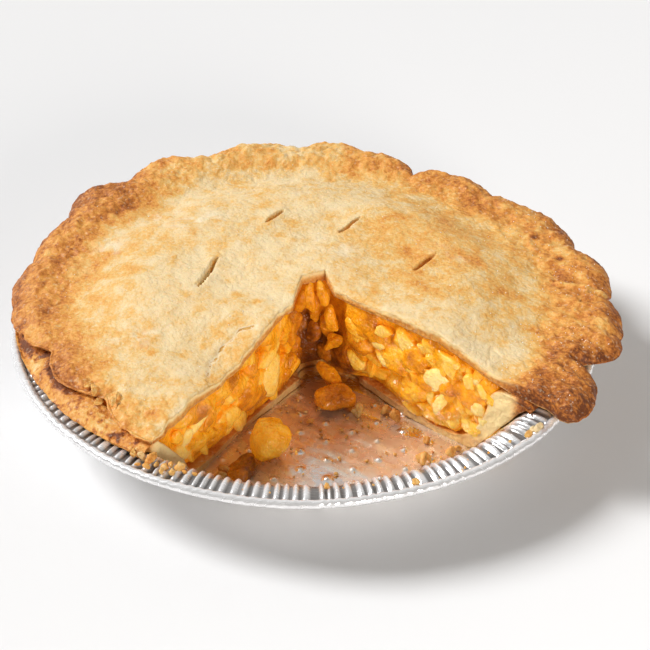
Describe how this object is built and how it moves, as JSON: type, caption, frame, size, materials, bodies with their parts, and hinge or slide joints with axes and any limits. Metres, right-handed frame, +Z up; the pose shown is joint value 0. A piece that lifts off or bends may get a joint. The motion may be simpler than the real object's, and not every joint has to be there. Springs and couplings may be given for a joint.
{
  "type": "apple pie in a foil tin",
  "caption": "Double-crust apple pie in a round pleated foil tin, with a wedge cut out that shows the apple filling and the bare tin floor.",
  "frame": {"origin": "middle of the tin's flat underside, on the surface that it stands on", "axes": "+Z up; the missing wedge opens towards -Y; +X to the right as seen from the opening"},
  "size_m": [0.2521, 0.2488, 0.0513],
  "materials": {
    "foil": "bright pressed foil with fine pleats",
    "bottom_pastry": "baked pastry, orange brown outside and pale cream where cut",
    "apple_filling": "wet cooked apple in amber syrup",
    "baked_crust": "dry baked pastry, pale gold in the middle and brown at the rim, with a few sugar grains",
    "apple_chunk": "wet translucent cooked apple"
  },
  "bodies": {
    "root": {"tin": "foil", "bottom_crust": "bottom_pastry", "filling": "apple_filling", "top_crust": "baked_crust", "apple_chunk_front": "apple_chunk", "apple_slice_front": "apple_chunk", "apple_chunk_corner": "apple_chunk", "apple_slice_corner": "apple_chunk"}
  },
  "joints": []
}
